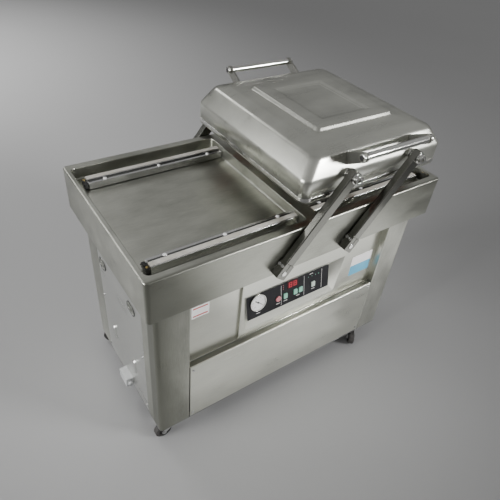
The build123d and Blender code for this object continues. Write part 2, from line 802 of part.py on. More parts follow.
# ------------------------------------------------------------------ swinging arms
lean = sin(arm_lean), cos(arm_lean)
bolt_height = 17.5
bolt_step = 6.0
for side_name, shaft_x in shaft_xs.items():
    arm_plane = Plane(
        origin=(shaft_x, 0, shaft_height),
        x_dir=(lean[0], 0, lean[1]),
        z_dir=(0, -1, 0),
    )
    pin_bore = 6.0 + (running_gap if side_name == "left" else open_pivot_gap)
    with BuildPart() as arms:
        for bank in signs:
            near = -bank * arm_inner_y
            with BuildSketch(arm_plane.offset(near)):
                with Locations(((arm_reach + arm_tip + clamp_above) / 2, 0)):
                    RectangleRounded(arm_reach + arm_tip - clamp_above, arm_width, 5.0)
                with Locations((clamp_above + 10.0, 0)):
                    Rectangle(20.0, arm_width)
            extrude(amount=-bank * arm_thickness)
        long_edges = arms.edges().filter_by(lambda e: e.length > arm_reach / 2)
        fillet(long_edges, 3.0)
        for bank in signs:
            near = -bank * arm_inner_y
            with BuildSketch(arm_plane.offset(near)):
                with Locations(((clamp_above - clamp_below) / 2, 0)):
                    RectangleRounded(clamp_above + clamp_below, clamp_width, 2.5)
            extrude(amount=-bank * clamp_thickness)
            with BuildSketch(arm_plane.offset(near + bank)):
                Circle(shaft_radius)
                with Locations((clamp_above / 2, 0)):
                    Rectangle(clamp_above, 1.6)
                with Locations((arm_reach, 0)):
                    Circle(pin_bore)
            extrude(amount=-bank * (clamp_thickness + 2.0), mode=Mode.SUBTRACT)
            bolt_plane = Plane(
                origin=arm_plane.from_local_coords((bolt_height, 0, near - bank * clamp_thickness / 2)),
                x_dir=(0, -1, 0),
                z_dir=arm_plane.y_dir,
            )
            with BuildSketch(bolt_plane.offset(-clamp_width / 2 - 1.0)):
                with Locations((-bolt_step, 0), (bolt_step, 0)):
                    Circle(2.5)
            extrude(amount=clamp_width + 2.0, mode=Mode.SUBTRACT)
    arms.part.label = f"{side_name}_arms"
    export_step(arms.part, f"parts/{side_name}_arms.step")

    with BuildPart() as bolts:
        for bank in signs:
            bolt_y = -bank * (arm_inner_y + clamp_thickness / 2)
            bolt_plane = Plane(
                origin=arm_plane.from_local_coords((bolt_height, 0, bolt_y)),
                x_dir=(0, -1, 0),
                z_dir=arm_plane.y_dir,
            )
            for start, length, radius, sides, mode in (
                (-clamp_width / 2 - 2.0, clamp_width + 2.0, 2.5, 0, Mode.ADD),
                (clamp_width / 2, 5.0, 4.4, 0, Mode.ADD),
                (clamp_width / 2 + 2.0, 3.0, 2.3, 6, Mode.SUBTRACT),
                (-clamp_width / 2 - 4.0, 4.0, 4.4, 6, Mode.ADD),
            ):
                with BuildSketch(bolt_plane.offset(start)):
                    with Locations((-bolt_step, 0), (bolt_step, 0)):
                        if sides:
                            RegularPolygon(radius, sides)
                        else:
                            Circle(radius)
                extrude(amount=length, mode=mode)
    bolts.part.label = f"{side_name}_bolts"
    export_step(bolts.part, f"parts/{side_name}_bolts.step")

    with BuildPart() as shaft:
        with BuildSketch(Plane.XZ.offset(-clamp_outer_y - 1.5)):
            with Locations((shaft_x, shaft_height)):
                Circle(shaft_radius)
        extrude(amount=2 * clamp_outer_y + 3.0)
        chamfer(shaft.edges().filter_by(GeomType.CIRCLE), 1.0)
    shaft.part.label = f"{side_name}_shaft"
    export_step(shaft.part, f"parts/{side_name}_shaft.step")


# ------------------------------------------------------------------ lid
def lid_solid(inset, sink):
    """The closed form of the lid, drawn in by inset on every side and lowered by sink."""
    below = 1.0 if sink else 0.0
    rows = [(lid_bottom + z - (sink if z > 0 else below), dx, dy) for z, dx, dy in lid_sections]
    platform_z, dx, dy = rows[-1]
    rows.append((platform_z + platform_rise, dx + platform_slope, dy + platform_slope))
    corners = [lid_corner - inset] * len(lid_sections) + [lid_corner - inset - 4.0]
    with BuildPart(mode=Mode.PRIVATE) as form:
        for (lower, low_corner), (upper, high_corner) in zip(zip(rows, corners), zip(rows[1:], corners[1:])):
            with BuildSketch(Plane.XY.offset(lower[0])):
                with Locations((lid_rest_x, 0)):
                    RectangleRounded(
                        2 * (lid_half_x - lower[1] - inset), 2 * (lid_half_y - lower[2] - inset), low_corner,
                    )
            with BuildSketch(Plane.XY.offset(upper[0])):
                with Locations((lid_rest_x, 0)):
                    RectangleRounded(
                        2 * (lid_half_x - upper[1] - inset), 2 * (lid_half_y - upper[2] - inset), high_corner,
                    )
            loft(ruled=True)
    return form.part


lid_top = lid_bottom + lid_sections[-1][0] + platform_rise
dent_size = (2 * tray_half_x, 2 * tray_half_y)
with BuildPart() as lid_shell:
    add(lid_solid(0.0, 0.0))
    add(lid_solid(lid_sheet, lid_sheet), mode=Mode.SUBTRACT)
    with BuildSketch(Plane.XY.offset(lid_top - tray_sink - lid_sheet)):
        with Locations((lid_rest_x, 0)):
            RectangleRounded(dent_size[0] + 4.0, dent_size[1] + 4.0, 12.0)
    extrude(amount=tray_sink + lid_sheet)
    with BuildSketch(Plane.XY.offset(lid_top)):
        with Locations((lid_rest_x, 0)):
            RectangleRounded(*dent_size, 10.0)
    with BuildSketch(Plane.XY.offset(lid_top - tray_sink)):
        with Locations((lid_rest_x, 0)):
            RectangleRounded(dent_size[0] - 2 * tray_slope, dent_size[1] - 2 * tray_slope, 8.0)
    loft(ruled=True, mode=Mode.SUBTRACT)
    # inner flange that carries the gasket, and the two rails over the sealing bars
    with BuildSketch(Plane.XY.offset(lid_bottom + 4.0)):
        with Locations((lid_rest_x, 0)):
            RectangleRounded(2 * lid_half_x - 2.0, 2 * lid_half_y - 2.0, lid_corner - 1.0)
            flange_inner = (2 * gasket_half_x - 20.0, 2 * gasket_half_y - 22.0)
            RectangleRounded(*flange_inner, lid_corner - 10.0, mode=Mode.SUBTRACT)
    extrude(amount=2.0)
    for bank in signs:
        with BuildSketch(Plane.XY.offset(lid_bottom + 22.0)):
            with Locations((lid_rest_x, bank * 206.0)):
                Rectangle(2 * lid_half_x - 3.0, 24.0)
        extrude(amount=3.0)
lid_shell.part.label = "lid_shell"
export_step(lid_shell.part, "parts/lid_shell.step")

with BuildPart() as lid_gasket:
    with BuildSketch(Plane.XY.offset(lid_bottom - gasket_drop)):
        with Locations((lid_rest_x, 0)):
            RectangleRounded(2 * gasket_half_x, 2 * gasket_half_y, 22.0)
            gasket_inner = (2 * (gasket_half_x - gasket_width), 2 * (gasket_half_y - gasket_width))
            RectangleRounded(*gasket_inner, 14.0, mode=Mode.SUBTRACT)
    extrude(amount=gasket_drop + 4.0)
    fillet(lid_gasket.faces().sort_by(Axis.Z)[0].edges(), 2.0)
lid_gasket.part.label = "lid_gasket"
export_step(lid_gasket.part, "parts/lid_gasket.step")

with BuildPart() as silicone_bars:
    for bank in signs:
        with BuildSketch(Plane.XY.offset(lid_bottom + 0.5)):
            with Locations((lid_rest_x, bank * 206.0)):
                Rectangle(448.0, 18.0)
        extrude(amount=21.5)
    fillet(silicone_bars.faces().sort_by(Axis.Z)[:2].edges().filter_by(Axis.X), 2.0)
silicone_bars.part.label = "silicone_bars"
export_step(silicone_bars.part, "parts/silicone_bars.step")

handle_z = lid_bottom + handle_rise
with BuildPart() as handle_bars:
    for bank in signs:
        with BuildSketch(Plane.YZ.offset(lid_rest_x - handle_length / 2)):
            with Locations((bank * handle_y, handle_z)):
                Circle(handle_radius)
        extrude(amount=handle_length)
    fillet(handle_bars.edges().filter_by(GeomType.CIRCLE), 2.5)
handle_bars.part.label = "handle_bars"
export_step(handle_bars.part, "parts/handle_bars.step")


def shoulder_y(z):
    """Distance of the lid's sloping shoulder from its centre, at height z above its lower edge."""
    (z0, _, dy0), (z1, _, dy1) = lid_sections[1], lid_sections[2]
    return lid_half_y - dy0 - (dy1 - dy0) * (z - z0) / (z1 - z0)


with BuildPart() as handle_brackets:
    for offset in (-bracket_offset, bracket_offset):
        with BuildSketch(Plane.YZ.offset(lid_rest_x + offset - bracket_thickness / 2)):
            for bank in signs:
                Polygon(
                    (bank * shoulder_y(108.0), lid_bottom + 108.0),
                    (bank * shoulder_y(79.0), lid_bottom + 79.0),
                    (bank * (handle_y + 8.0), handle_z - 10.2),
                    (bank * (handle_y - 3.0), handle_z + 12.6),
                    align=None,
                )
                with Locations((bank * handle_y, handle_z)):
                    Circle(13.0)
                    Circle(handle_radius, mode=Mode.SUBTRACT)
        extrude(amount=bracket_thickness)
handle_brackets.part.label = "handle_brackets"
export_step(handle_brackets.part, "parts/handle_brackets.step")

pin_xs = [lid_rest_x + x for x in shaft_xs.values()]
with BuildPart() as lid_pivots:
    for bank in signs:
        for start, end, radius in (
            (lid_half_y, 272.0, 15.0),
            (272.0, 276.4, 11.0),
            (276.0, arm_outer_y + 0.6, 6.0),
            (arm_outer_y + 0.6, arm_outer_y + 4.0, 15.0),
            (arm_outer_y + 4.0, arm_outer_y + 13.5, 12.5),
        ):
            with BuildSketch(Plane.XZ.offset(-bank * start)):
                with Locations(*[(x, pivot_height) for x in pin_xs]):
                    Circle(radius)
            extrude(amount=-bank * (end - start))
        with BuildSketch(Plane.XZ.offset(-bank * (arm_outer_y + 14.0))):
            with Locations(*[(x, pivot_height) for x in pin_xs]):
                RegularPolygon(6.0, 6)
        extrude(amount=bank * 7.0, mode=Mode.SUBTRACT)
lid_pivots.part.label = "lid_pivots"
export_step(lid_pivots.part, "parts/lid_pivots.step")

lid_screw_z = lid_bottom + 10.0
lid_screw_xs = [lid_rest_x + step * 95.0 for step in (-2, -1, 0, 1, 2)]
lid_screw_ys = [step * 92.0 for step in (-2, -1, 0, 1, 2)]
with BuildPart() as lid_screws:
    for side in signs:
        with BuildSketch(Plane.XZ.offset(side * lid_half_y)):
            with Locations(*[(x, lid_screw_z) for x in lid_screw_xs]):
                Circle(3.0)
        extrude(amount=side * 1.6)
        with BuildSketch(Plane.YZ.offset(lid_rest_x + side * lid_half_x)):
            with Locations(*[(y, lid_screw_z) for y in lid_screw_ys]):
                Circle(3.0)
        extrude(amount=side * 1.6)
lid_screws.part.label = "lid_screws"
export_step(lid_screws.part, "parts/lid_screws.step")


# ------------------------------------------------------------------ sealing bars
bar_bottom = well_floor + 2.0
piston_bottom = 652.0
screw_steps = (-166.0, 0.0, 166.0)
bar_shoulder = 725.0
bar_crown = 729.0
for side_name, side in (("left", -1), ("right", 1)):
    for bank_name, bank in (("front", -1), ("rear", 1)):
        middle_x = side * bar_centre_x
        first_x = middle_x - bar_length / 2
        with BuildPart() as seal_bar:
            with BuildSketch(Plane.YZ.offset(first_x)):
                Polygon(
                    (bank * bar_inner_y, bar_bottom),
                    (bank * bar_outer_y, bar_bottom),
                    (bank * bar_outer_y, bar_crown),
                    (bank * bar_step_y, bar_crown),
                    (bank * bar_step_y, bar_shoulder),
                    (bank * bar_inner_y, bar_shoulder),
                    align=None,
                )
            extrude(amount=bar_length)
            fillet(seal_bar.edges().filter_by(Axis.X).group_by(Axis.Z)[-1], 1.5)
            for radius, length in ((13.5, 6.0), (rod_radius, bar_bottom - piston_bottom)):
                with BuildSketch(Plane.XY.offset(piston_bottom)):
                    with Locations((middle_x, bank * port_y)):
                        with GridLocations(rod_spacing, 1, 2, 1):
                            Circle(radius)
                extrude(amount=length)
            with BuildSketch(Plane.XY.offset(bar_shoulder)):
                with Locations(*[(middle_x + step, bank * 188.0) for step in screw_steps]):
                    Circle(4.5)
            extrude(amount=2.4, taper=20)
        seal_bar.part.label = f"seal_bar_{side_name}_{bank_name}"
        export_step(seal_bar.part, f"parts/seal_bar_{side_name}_{bank_name}.step")

        with BuildPart() as heat_strip:
            with BuildSketch(Plane.XZ.offset(-bank * 206.0 - 7.0)):
                with Locations((middle_x, bar_crown + 0.3)):
                    Rectangle(bar_length + 1.2, 0.6)
                for end in signs:
                    with Locations((middle_x + end * (bar_length / 2 + 0.3), bar_crown - 4.7)):
                        Rectangle(0.6, 10.6)
            extrude(amount=14.0)
        heat_strip.part.label = f"heat_strip_{side_name}_{bank_name}"
        export_step(heat_strip.part, f"parts/heat_strip_{side_name}_{bank_name}.step")


# ------------------------------------------------------------------ casters
casters = {                    # swivel axis x and y, and the way the wheel trails
    "front_left": (caster_left_x, -caster_y, (-1.0, 0.0)),
    "front_right": (caster_right_x, -caster_y, (-0.62, -0.785)),
    "rear_left": (caster_left_x, caster_y, (-0.8, 0.6)),
    "rear_right": (caster_right_x, caster_y, (-0.6, 0.8)),
}
plate_bottom_z = cabinet_bottom - 3.0
raceway_bottom = 60.5
with BuildPart() as caster_plates:
    for stem_x, stem_y, _ in casters.values():
        centre = (stem_x, stem_y)
        with BuildSketch(Plane.XY.offset(plate_bottom_z)):
            with Locations(centre):
                RectangleRounded(62.0, 62.0, 6.0)
        extrude(amount=3.0)
        with BuildSketch(Plane.XY.offset(raceway_bottom)):
            with Locations(centre):
                Circle(19.0)
        extrude(amount=plate_bottom_z - raceway_bottom)
        with BuildSketch(Plane.XY.offset(raceway_bottom)):
            with Locations(centre):
                Circle(6.0 + running_gap)
        extrude(amount=8.9, mode=Mode.SUBTRACT)
caster_plates.part.label = "caster_plates"
export_step(caster_plates.part, "parts/caster_plates.step")

cheek_inner = wheel_width / 2 + 1.5
cheek = 2.5
for name, (stem_x, stem_y, heading) in casters.items():
    base = Plane(origin=(stem_x, stem_y, 0), x_dir=(*heading, 0), z_dir=(0, 0, 1))
    upright = Plane(origin=base.origin, x_dir=base.x_dir, z_dir=-base.y_dir)
    with BuildPart() as fork:
        with BuildSketch(base.offset(57.0)):
            Circle(23.0)
        extrude(amount=3.0)
        with BuildSketch(base.offset(57.0)):
            Circle(6.0)
        extrude(amount=12.0)
        for flank in signs:
            with BuildSketch(upright.offset(flank * cheek_inner)):
                Polygon(
                    (-14.0, 59.0),
                    (17.0, 59.0),
                    (caster_trail + 8.0, wheel_radius + 1.0),
                    (caster_trail - 7.6, wheel_radius - 3.0),
                    align=None,
                )
                with Locations((caster_trail, wheel_radius)):
                    Circle(8.0)
            extrude(amount=flank * cheek)
            with BuildSketch(upright.offset(flank * (cheek_inner + cheek))):
                with Locations((caster_trail, wheel_radius)):
                    RegularPolygon(6.0, 6)
            extrude(amount=flank * 3.0)
        with BuildSketch(upright.offset(-cheek_inner)):
            with Locations((caster_trail, wheel_radius)):
                Circle(4.0)
        extrude(amount=2 * cheek_inner)
    fork.part.label = f"caster_fork_{name}"
    export_step(fork.part, f"parts/caster_fork_{name}.step")

    with BuildPart() as wheel:
        with BuildSketch(upright.offset(-wheel_width / 2)):
            with Locations((caster_trail, wheel_radius)):
                Circle(wheel_radius)
        extrude(amount=wheel_width)
        fillet(wheel.edges().filter_by(GeomType.CIRCLE), 3.5)
        for flank in signs:
            with BuildSketch(upright.offset(flank * wheel_width / 2)):
                with Locations((caster_trail, wheel_radius)):
                    Circle(16.0)
                    Circle(8.0, mode=Mode.SUBTRACT)
            extrude(amount=-flank * 4.0, mode=Mode.SUBTRACT)
        with BuildSketch(upright.offset(-wheel_width)):
            with Locations((caster_trail, wheel_radius)):
                Circle(4.0 + running_gap)
        extrude(amount=2 * wheel_width, mode=Mode.SUBTRACT)
    wheel.part.label = f"caster_wheel_{name}"
    export_step(wheel.part, f"parts/caster_wheel_{name}.step")
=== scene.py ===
import math

import bmesh
import bpy
from mathutils import Matrix, Vector


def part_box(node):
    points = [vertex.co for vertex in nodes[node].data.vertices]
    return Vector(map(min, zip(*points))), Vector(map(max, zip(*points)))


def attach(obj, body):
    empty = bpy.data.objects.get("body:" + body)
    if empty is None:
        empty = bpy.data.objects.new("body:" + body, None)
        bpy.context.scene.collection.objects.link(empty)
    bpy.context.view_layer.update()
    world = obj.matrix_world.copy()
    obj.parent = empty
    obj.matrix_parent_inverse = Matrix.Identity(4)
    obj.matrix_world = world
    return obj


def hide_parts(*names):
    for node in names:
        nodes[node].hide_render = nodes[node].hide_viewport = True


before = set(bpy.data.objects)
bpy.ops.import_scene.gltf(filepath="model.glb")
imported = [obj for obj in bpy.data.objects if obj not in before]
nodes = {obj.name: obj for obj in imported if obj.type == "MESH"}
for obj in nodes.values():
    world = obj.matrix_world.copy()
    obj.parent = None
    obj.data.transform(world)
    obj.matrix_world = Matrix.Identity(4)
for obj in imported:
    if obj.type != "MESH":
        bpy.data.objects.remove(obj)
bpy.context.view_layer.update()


# ------------------------------------------------------------------ camera
def place_camera():
    """The camera stands in front of the left-hand corner, looking down on the deck."""
    azimuth, elevation, roll = math.radians(-38.54), math.radians(39.22), math.radians(-6.66)
    forward = Vector((
        -math.sin(azimuth) * math.cos(elevation),
        math.cos(azimuth) * math.cos(elevation),
        -math.sin(elevation),
    ))
    right = Vector((math.cos(azimuth), math.sin(azimuth), 0))
    down = forward.cross(right)
    rolled_right = right * math.cos(roll) + down * math.sin(roll)
    rolled_down = down * math.cos(roll) - right * math.sin(roll)
    turn = Matrix((rolled_right, -rolled_down, -forward)).transposed()
    data = bpy.data.cameras.new("camera")
    data.sensor_width = 36.0
    data.lens = 35.03
    data.shift_x = -0.0099
    data.shift_y = -0.0070
    camera = bpy.data.objects.new("camera", data)
    camera.matrix_world = Matrix.Translation((-0.7769, -0.9902, 1.4832)) @ turn.to_4x4()
    bpy.context.scene.collection.objects.link(camera)
    bpy.context.scene.camera = camera


place_camera()


# ------------------------------------------------------------------ materials
def node_material(name):
    """A new material with its node tree, its Principled shader and its object coordinates."""
    material = bpy.data.materials.new(name)
    material.use_nodes = True
    tree = material.node_tree
    shader = next(n for n in tree.nodes if n.type == "BSDF_PRINCIPLED")
    coords = tree.nodes.new("ShaderNodeTexCoord")
    return material, tree, shader, coords.outputs["Object"]


def noise(tree, vector, scale, detail=4.0, stretch=(1, 1, 1), rough=0.55):
    """Noise of that many features to the metre, drawn out by stretch."""
    mapping = tree.nodes.new("ShaderNodeMapping")
    mapping.inputs["Scale"].default_value = stretch
    tree.links.new(vector, mapping.inputs["Vector"])
    texture = tree.nodes.new("ShaderNodeTexNoise")
    texture.inputs["Scale"].default_value = scale
    texture.inputs["Detail"].default_value = detail
    texture.inputs["Roughness"].default_value = rough
    tree.links.new(mapping.outputs["Vector"], texture.inputs["Vector"])
    return texture.outputs["Fac"]


def ramp(tree, value, low, high, out_low, out_high):
    """Maps value from low..high to out_low..out_high."""
    node = tree.nodes.new("ShaderNodeMapRange")
    for key, number in (("From Min", low), ("From Max", high), ("To Min", out_low), ("To Max", out_high)):
        node.inputs[key].default_value = number
    tree.links.new(value, node.inputs["Value"])
    return node.outputs["Result"]


def math_node(tree, operation, a, b):
    """a and b may be sockets or numbers."""
    node = tree.nodes.new("ShaderNodeMath")
    node.operation = operation
    for socket, value in zip(node.inputs, (a, b)):
        if isinstance(value, (int, float)):
            socket.default_value = value
        else:
            tree.links.new(value, socket)
    return node.outputs[0]


def mix_colour(tree, factor, a, b):
    """Colour a where factor is 0 and b where it is 1."""
    node = tree.nodes.new("ShaderNodeMix")
    node.data_type = "RGBA"
    tree.links.new(factor, node.inputs[0])
    for socket, value in ((node.inputs[6], a), (node.inputs[7], b)):
        if isinstance(value, tuple):
            socket.default_value = (*value, 1.0)
        else:
            tree.links.new(value, socket)
    return node.outputs[2]


def bump(tree, shader, height, distance, strength=1.0, edge=0.0):
    """Bump of that many metres, over edges softened by the radius edge."""
    node = tree.nodes.new("ShaderNodeBump")
    node.inputs["Distance"].default_value = distance
    node.inputs["Strength"].default_value = strength
    tree.links.new(height, node.inputs["Height"])
    if edge:
        bevel = tree.nodes.new("ShaderNodeBevel")
        bevel.samples = 4
        bevel.inputs["Radius"].default_value = edge
        tree.links.new(bevel.outputs["Normal"], node.inputs["Normal"])
    tree.links.new(node.outputs["Normal"], shader.inputs["Normal"])


# The grain runs along the named axis: its features are 60 times finer across it.
GRAIN = {"x": (1, 60, 60), "y": (60, 1, 60), "z": (60, 60, 1)}


def brushed(name, colour, dark, rough, grain="x", edge=0.0015, grain_depth=0.00003, blotch=0.05, painted_shade=None):
    """Brushed metal with grain, clouds, wiping marks and specks.

    Each painted_shade ramp is painted shade that darkens the front faces along x: (start x, end x, tone at
    start, tone at end, y of the front faces it is kept to).
    """
    material, tree, shader, place = node_material(name)
    shader.inputs["Metallic"].default_value = 1.0
    line = noise(tree, place, 30.0, 7.0, GRAIN[grain], 0.72)
    cloud = noise(tree, place, 1.7, 2.0, rough=0.45)
    wipe = noise(tree, place, 9.0, 3.0, tuple(1 if s == 1 else 2.2 for s in GRAIN[grain]), 0.5)
    speck = noise(tree, place, 420.0, 2.0)
    line_part = math_node(tree, "MULTIPLY", line, 0.36)
    cloud_part = math_node(tree, "MULTIPLY", cloud, 0.44)
    wipe_part = math_node(tree, "MULTIPLY", wipe, 0.20)
    tone = math_node(tree, "ADD", math_node(tree, "ADD", line_part, cloud_part), wipe_part)
    tone = ramp(tree, tone, 0.34, 0.62, 0.0, 1.0)
    # Painted shade: each ramp darkens the tone along x, only on the faces in front of its y.
    if painted_shade:
        split = tree.nodes.new("ShaderNodeSeparateXYZ")
        tree.links.new(place, split.inputs[0])
        for start, end, low, high, front in painted_shade:
            factor = ramp(tree, split.outputs["X"], start, end, low, high)
            behind = ramp(tree, split.outputs["Y"], front, front + 0.008, 0.0, 1.0)
            tone = math_node(tree, "MULTIPLY", tone, math_node(tree, "MAXIMUM", factor, behind))
    steel = mix_colour(tree, tone, dark, colour)
    stain = ramp(tree, speck, 0.66, 0.80, 0.0, 0.35)
    stained = mix_colour(tree, stain, steel, tuple(c * 0.6 for c in dark))
    tree.links.new(stained, shader.inputs["Base Color"])
    wiped = ramp(tree, wipe, 0.3, 0.7, -blotch, blotch)
    uneven = math_node(tree, "ADD", wiped, ramp(tree, line, 0.3, 0.7, -0.04, 0.04))
    tree.links.new(math_node(tree, "ADD", uneven, rough), shader.inputs["Roughness"])
    bump(tree, shader, line, grain_depth, 1.0, edge)
    return material


def moulded(
    name, colour, dark, rough, scale=900.0, depth=0.00004, edge=0.0006, metallic=0.0, coat=0.0, shine=0.5,
):
    """Moulded plastic, rubber or paint, with fine texture and patches of wear."""
    material, tree, shader, place = node_material(name)
    shader.inputs["Metallic"].default_value = metallic
    shader.inputs["Specular IOR Level"].default_value = shine
    if coat:
        shader.inputs["Coat Weight"].default_value = coat
    grain = noise(tree, place, scale, 2.0)
    patch = noise(tree, place, 24.0, 5.0)
    patched = mix_colour(tree, ramp(tree, patch, 0.35, 0.65, 0.0, 1.0), dark, colour)
    tree.links.new(patched, shader.inputs["Base Color"])
    tree.links.new(ramp(tree, patch, 0.3, 0.7, rough - 0.08, rough + 0.08), shader.inputs["Roughness"])
    bump(tree, shader, grain, depth, 1.0, edge)
    return material


def glow(name, colour, strength):
    """Emission: lit segments behind a dark window, and painted light on white parts that are no lamps."""
    material, tree, shader, place = node_material(name)
    flicker = noise(tree, place, 400.0, 1.0)
    uneven = mix_colour(tree, flicker, colour, tuple(c * 0.8 for c in colour))
    tree.links.new(uneven, shader.inputs["Base Color"])
    shader.inputs["Emission Color"].default_value = (*colour, 1.0)
    shader.inputs["Emission Strength"].default_value = strength
    shader.inputs["Roughness"].default_value = 0.4
    return material


# sheet_x, sheet_y, sheet_z, deck_steel and lid_steel are copies of one stainless steel at different
# brightness: painted light and shade, lighter on the front and side sheets, darker on the columns, the deck
# and the lid.
sheet_x = brushed("sheet_x", (0.88, 0.885, 0.80), (0.64, 0.645, 0.575), 0.33, "x")
sheet_y = brushed("sheet_y", (0.84, 0.845, 0.815), (0.64, 0.645, 0.62), 0.32, "y")
# Painted shade: the columns' front faces darken towards the left end.
sheet_z = brushed(
    "sheet_z", (0.80, 0.805, 0.735), (0.24, 0.245, 0.205), 0.34, "z",
    painted_shade=[(-0.470, -0.365, 0.0, 0.9, -0.20)],
)
# Painted shade: a dark steel copy for the strip along the ledge, standing for the dark band there.
ledge_painted_shade = brushed("ledge_painted_shade", (0.34, 0.34, 0.30), (0.24, 0.24, 0.205), 0.4, "x")
# Painted shade: the deck's front faces darken towards both ends, most at the left.
deck_steel = brushed(
    "deck_steel", (0.72, 0.725, 0.655), (0.27, 0.275, 0.235), 0.34, "x", grain_depth=0.000012,
    painted_shade=[(-0.50, -0.16, 0.05, 0.95, -0.272), (0.02, 0.47, 1.0, 0.42, -0.272)],
)
lid_steel = brushed("lid_steel", (0.72, 0.725, 0.665), (0.52, 0.525, 0.475), 0.32, "x")
polished = brushed("polished", (0.80, 0.80, 0.77), (0.66, 0.66, 0.63), 0.14, "x", grain_depth=0.00001)
arm_steel = brushed("arm_steel", (0.30, 0.30, 0.275), (0.17, 0.17, 0.15), 0.24, "z", grain_depth=0.00002)
bracket_steel = brushed("bracket_steel", (0.42, 0.42, 0.39), (0.28, 0.28, 0.255), 0.30, "z")
inner_steel = brushed("inner_steel", (0.36, 0.36, 0.36), (0.26, 0.26, 0.26), 0.45, "x")
bar_alu = brushed("bar_alu", (0.74, 0.74, 0.73), (0.60, 0.60, 0.59), 0.26, "x", edge=0.0006)
zinc = brushed("zinc", (0.72, 0.72, 0.71), (0.55, 0.55, 0.54), 0.3, "z", edge=0.0008, grain_depth=0.00002)
dark_spring = brushed("dark_spring", (0.12, 0.12, 0.12), (0.08, 0.08, 0.08), 0.4, "x", edge=0)
black_film = moulded(
    "black_film", (0.010, 0.010, 0.012), (0.016, 0.016, 0.018), 0.36, 1500.0, 0.00001, shine=0.16,
)
black_paint = moulded("black_paint", (0.02, 0.02, 0.02), (0.035, 0.035, 0.035), 0.4)
black_rubber = moulded("black_rubber", (0.025, 0.025, 0.025), (0.05, 0.048, 0.045), 0.62, 700.0, 0.00008)
tyre = moulded("tyre", (0.03, 0.03, 0.03), (0.075, 0.07, 0.065), 0.6, 500.0, 0.00012)
silicone = moulded("silicone", (0.55, 0.12, 0.07), (0.45, 0.09, 0.05), 0.5)
tape = moulded("tape", (0.72, 0.70, 0.64), (0.55, 0.52, 0.45), 0.5, 1800.0, 0.00008)
key_green = moulded("key_green", (0.30, 0.66, 0.50), (0.24, 0.56, 0.42), 0.38, coat=0.3)
key_pale = moulded("key_pale", (0.66, 0.76, 0.68), (0.56, 0.66, 0.58), 0.38, coat=0.3)
key_red = moulded("key_red", (0.70, 0.24, 0.26), (0.58, 0.18, 0.2), 0.38, coat=0.3)
inlet_grey = moulded("inlet_grey", (0.62, 0.63, 0.63), (0.52, 0.53, 0.53), 0.5)
pump_paint = moulded("pump_paint", (0.10, 0.17, 0.28), (0.07, 0.12, 0.2), 0.42, 300.0, 0.0002, coat=0.4)
brass = moulded("brass", (0.62, 0.47, 0.2), (0.5, 0.38, 0.16), 0.32, metallic=1.0)
board_green = moulded("board_green", (0.03, 0.17, 0.07), (0.02, 0.12, 0.05), 0.4, coat=0.3)
varnish = moulded("varnish", (0.08, 0.06, 0.05), (0.05, 0.04, 0.035), 0.35, coat=0.4)
# Painted light: the dial, the white labels and the panel's white lines and marks glow though they are no
# lamps.
dial_painted_glow = glow("dial_painted_glow", (0.95, 0.95, 0.94), 0.22)
label_painted_glow = glow("label_painted_glow", (0.95, 0.93, 0.92), 0.22)
label_red = moulded("label_red", (0.62, 0.06, 0.05), (0.5, 0.05, 0.04), 0.45, 1500.0, 0.00001)
label_blue = moulded("label_blue", (0.16, 0.55, 0.78), (0.12, 0.46, 0.70), 0.45, 1500.0, 0.00001)
led_red = glow("led_red", (0.55, 0.03, 0.05), 0.35)

node_looks = {
    "deck_table": deck_steel, "corner_columns": sheet_z, "front_recess_panel": sheet_x,
    "front_lower_panel": sheet_x, "left_side_panel": sheet_y, "right_side_panel": sheet_y,
    "rear_panel": sheet_x, "control_box": sheet_x, "lid_shell": lid_steel, "handle_brackets": bracket_steel,
    "handle_bars": polished, "left_shaft": polished, "right_shaft": polished, "lid_pivots": polished,
    "left_arms": arm_steel, "right_arms": arm_steel, "base_pan": inner_steel, "top_frame": inner_steel,
    "caster_plates": zinc, "shaft_bearings": zinc, "control_faceplate": black_film, "gauge_case": polished,
    "gauge_needle": black_paint, "start_button": key_green, "minus_button": key_green,
    "plus_button": key_green, "set_button": key_pale, "stop_button": key_red, "circuit_board": board_green,
    "vacuum_pump": pump_paint, "pump_motor": pump_paint, "exhaust_filter": pump_paint,
    "solenoid_valves": brass, "vacuum_hoses": black_rubber, "transformer": varnish,
    "lift_cylinders": bar_alu, "balance_springs": dark_spring, "power_inlet": inlet_grey,
    "panel_screws": zinc, "lid_screws": zinc, "left_bolts": zinc, "right_bolts": zinc,
    "lid_gasket": black_rubber, "silicone_bars": silicone,
}
for name, node in nodes.items():
    look = node_looks.get(name)
    if name.startswith("seal_bar_"):
        look = bar_alu
    if name.startswith("heat_strip_"):
        look = tape
    if name.startswith("caster_fork_"):
        look = zinc
    if name.startswith("caster_wheel_"):
        look = tyre
    node.data.materials.clear()
    node.data.materials.append(look)


# ------------------------------------------------------------------ mesh helpers
def new_piece(name, mesh_data, material, body, smooth=True):
    """Wraps a bmesh or a mesh as a piece that rides on a body."""
    if isinstance(mesh_data, bmesh.types.BMesh):
        mesh = bpy.data.meshes.new(name)
        mesh_data.to_mesh(mesh)
        mesh_data.free()
    else:
        mesh = mesh_data
    mesh.materials.clear()
    mesh.materials.append(material)
    piece = bpy.data.objects.new(name, mesh)
    bpy.context.scene.collection.objects.link(piece)
    if smooth:
        for face in mesh.polygons:
            face.use_smooth = True
    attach(piece, body)
    return piece


def edge_bevel(piece, width, segments=3, angle=35):
    """Rounds the piece's sharp edges."""
    modifier = piece.modifiers.new("bevel", "BEVEL")
    modifier.width = width
    modifier.segments = segments
    modifier.limit_method = "ANGLE"
    modifier.angle_limit = math.radians(angle)
    modifier.harden_normals = True
    return modifier


